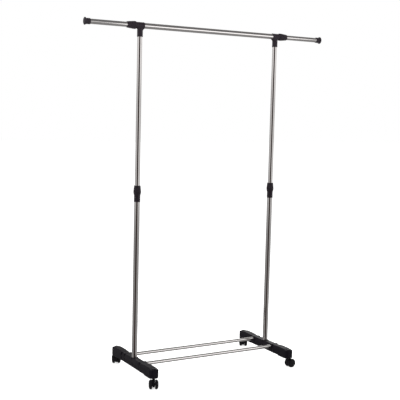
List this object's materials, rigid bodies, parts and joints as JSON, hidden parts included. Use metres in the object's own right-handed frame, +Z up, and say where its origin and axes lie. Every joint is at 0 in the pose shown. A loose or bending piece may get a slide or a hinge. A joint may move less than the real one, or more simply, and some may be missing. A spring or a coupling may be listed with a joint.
{
  "type": "garment rail",
  "caption": "Free-standing garment rail on twin-wheel casters, with telescopic posts, pull-out end rails, twist-lock collars and low bars between the feet.",
  "frame": {"origin": "on the floor under the middle of the hanging rail, midway between the two posts", "axes": "+Z up; +X along the hanging rail towards the right-hand post as seen from the front; +Y towards the back"},
  "size_m": [1.248, 0.4689, 1.5872],
  "materials": {
    "black_plastic": "moulded black plastic with a soft satin sheen",
    "guide_plastic": "dark grey moulded plastic",
    "polished_tube": "polished steel tube with faint lengthwise drawing lines",
    "zinc_steel": "bright zinc-plated steel",
    "caster_plastic": "black nylon, slightly scuffed on the tread"
  },
  "bodies": {
    "base": {"left_foot": "black_plastic", "right_foot": "black_plastic", "front_bottom_bar": "polished_tube", "rear_bottom_bar": "polished_tube", "left_lower_post": "polished_tube", "right_lower_post": "polished_tube", "left_post_sleeve": "black_plastic", "right_post_sleeve": "black_plastic", "left_post_plug": "guide_plastic", "right_post_plug": "guide_plastic", "post_screws": "zinc_steel", "caster_stems": "zinc_steel"},
    "top_frame": {"left_upper_post": "polished_tube", "right_upper_post": "polished_tube", "left_tee": "black_plastic", "right_tee": "black_plastic", "middle_rail": "polished_tube", "left_post_guide": "guide_plastic", "right_post_guide": "guide_plastic"},
    "left_extension": {"left_extension_rail": "polished_tube", "left_end_cap": "black_plastic", "left_rail_guide": "guide_plastic"},
    "right_extension": {"right_extension_rail": "polished_tube", "right_end_cap": "black_plastic", "right_rail_guide": "guide_plastic"},
    "left_post_clamp": {"left_post_collar": "black_plastic"},
    "right_post_clamp": {"right_post_collar": "black_plastic"},
    "left_rail_clamp": {"left_rail_collar": "black_plastic"},
    "right_rail_clamp": {"right_rail_collar": "black_plastic"},
    "left_front_caster": {"left_front_caster_body": "caster_plastic", "left_front_axle": "zinc_steel"},
    "left_front_outer_wheel_body": {"left_front_outer_wheel": "caster_plastic"},
    "left_front_inner_wheel_body": {"left_front_inner_wheel": "caster_plastic"},
    "right_front_caster": {"right_front_caster_body": "caster_plastic", "right_front_axle": "zinc_steel"},
    "right_front_outer_wheel_body": {"right_front_outer_wheel": "caster_plastic"},
    "right_front_inner_wheel_body": {"right_front_inner_wheel": "caster_plastic"},
    "left_rear_caster": {"left_rear_caster_body": "caster_plastic", "left_rear_axle": "zinc_steel"},
    "left_rear_outer_wheel_body": {"left_rear_outer_wheel": "caster_plastic"},
    "left_rear_inner_wheel_body": {"left_rear_inner_wheel": "caster_plastic"},
    "right_rear_caster": {"right_rear_caster_body": "caster_plastic", "right_rear_axle": "zinc_steel"},
    "right_rear_outer_wheel_body": {"right_rear_outer_wheel": "caster_plastic"},
    "right_rear_inner_wheel_body": {"right_rear_inner_wheel": "caster_plastic"}
  },
  "joints": [
    {"name": "height_slide", "type": "slide", "parent": "base", "child": "top_frame", "axis": [0, 0, 1], "range_m": [-0.62, 0.03]},
    {"name": "left_extension_slide", "type": "slide", "parent": "top_frame", "child": "left_extension", "axis": [-1, 0, 0], "range_m": [-0.17, 0.12]},
    {"name": "right_extension_slide", "type": "slide", "parent": "top_frame", "child": "right_extension", "axis": [1, 0, 0], "range_m": [-0.178, 0.112]},
    {"name": "left_post_collar_twist", "type": "hinge", "parent": "base", "child": "left_post_clamp", "pos_m": [-0.358, 0, 0.847], "axis": [0, 0, 1], "range_deg": [0, 180]},
    {"name": "right_post_collar_twist", "type": "hinge", "parent": "base", "child": "right_post_clamp", "pos_m": [0.358, 0, 0.847], "axis": [0, 0, 1], "range_deg": [0, 180]},
    {"name": "left_rail_collar_twist", "type": "hinge", "parent": "top_frame", "child": "left_rail_clamp", "pos_m": [-0.4, 0, 1.57], "axis": [-1, 0, 0], "range_deg": [0, 180]},
    {"name": "right_rail_collar_twist", "type": "hinge", "parent": "top_frame", "child": "right_rail_clamp", "pos_m": [0.4, 0, 1.57], "axis": [1, 0, 0], "range_deg": [0, 180]},
    {"name": "left_front_swivel", "type": "hinge", "parent": "base", "child": "left_front_caster", "pos_m": [-0.358, -0.197, 0.03], "axis": [0, 0, 1], "continuous": true},
    {"name": "left_front_outer_wheel_spin", "type": "hinge", "parent": "left_front_caster", "child": "left_front_outer_wheel_body", "pos_m": [-0.37674, -0.20371, 0.021], "axis": [-0.9063, 0.4226, 0], "continuous": true},
    {"name": "left_front_inner_wheel_spin", "type": "hinge", "parent": "left_front_caster", "child": "left_front_inner_wheel_body", "pos_m": [-0.35109, -0.21567, 0.021], "axis": [-0.9063, 0.4226, 0], "continuous": true},
    {"name": "right_front_swivel", "type": "hinge", "parent": "base", "child": "right_front_caster", "pos_m": [0.358, -0.197, 0.03], "axis": [0, 0, 1], "continuous": true},
    {"name": "right_front_outer_wheel_spin", "type": "hinge", "parent": "right_front_caster", "child": "right_front_outer_wheel_body", "pos_m": [0.37318, -0.20988, 0.021], "axis": [0.0872, -0.9962, 0], "continuous": true},
    {"name": "right_front_inner_wheel_spin", "type": "hinge", "parent": "right_front_caster", "child": "right_front_inner_wheel_body", "pos_m": [0.37071, -0.18168, 0.021], "axis": [0.0872, -0.9962, 0], "continuous": true},
    {"name": "left_rear_swivel", "type": "hinge", "parent": "base", "child": "left_rear_caster", "pos_m": [-0.358, 0.197, 0.03], "axis": [0, 0, 1], "continuous": true},
    {"name": "left_rear_outer_wheel_spin", "type": "hinge", "parent": "left_rear_caster", "child": "left_rear_outer_wheel_body", "pos_m": [-0.33992, 0.20532, 0.021], "axis": [0.9397, -0.342, 0], "continuous": true},
    {"name": "left_rear_inner_wheel_spin", "type": "hinge", "parent": "left_rear_caster", "child": "left_rear_inner_wheel_body", "pos_m": [-0.36651, 0.21499, 0.021], "axis": [0.9397, -0.342, 0], "continuous": true},
    {"name": "right_rear_swivel", "type": "hinge", "parent": "base", "child": "right_rear_caster", "pos_m": [0.358, 0.197, 0.03], "axis": [0, 0, 1], "continuous": true},
    {"name": "right_rear_outer_wheel_spin", "type": "hinge", "parent": "right_rear_caster", "child": "right_rear_outer_wheel_body", "pos_m": [0.37762, 0.20035, 0.021], "axis": [0.8192, -0.5736, 0], "continuous": true},
    {"name": "right_rear_inner_wheel_spin", "type": "hinge", "parent": "right_rear_caster", "child": "right_rear_inner_wheel_body", "pos_m": [0.35444, 0.21658, 0.021], "axis": [0.8192, -0.5736, 0], "continuous": true}
  ]
}
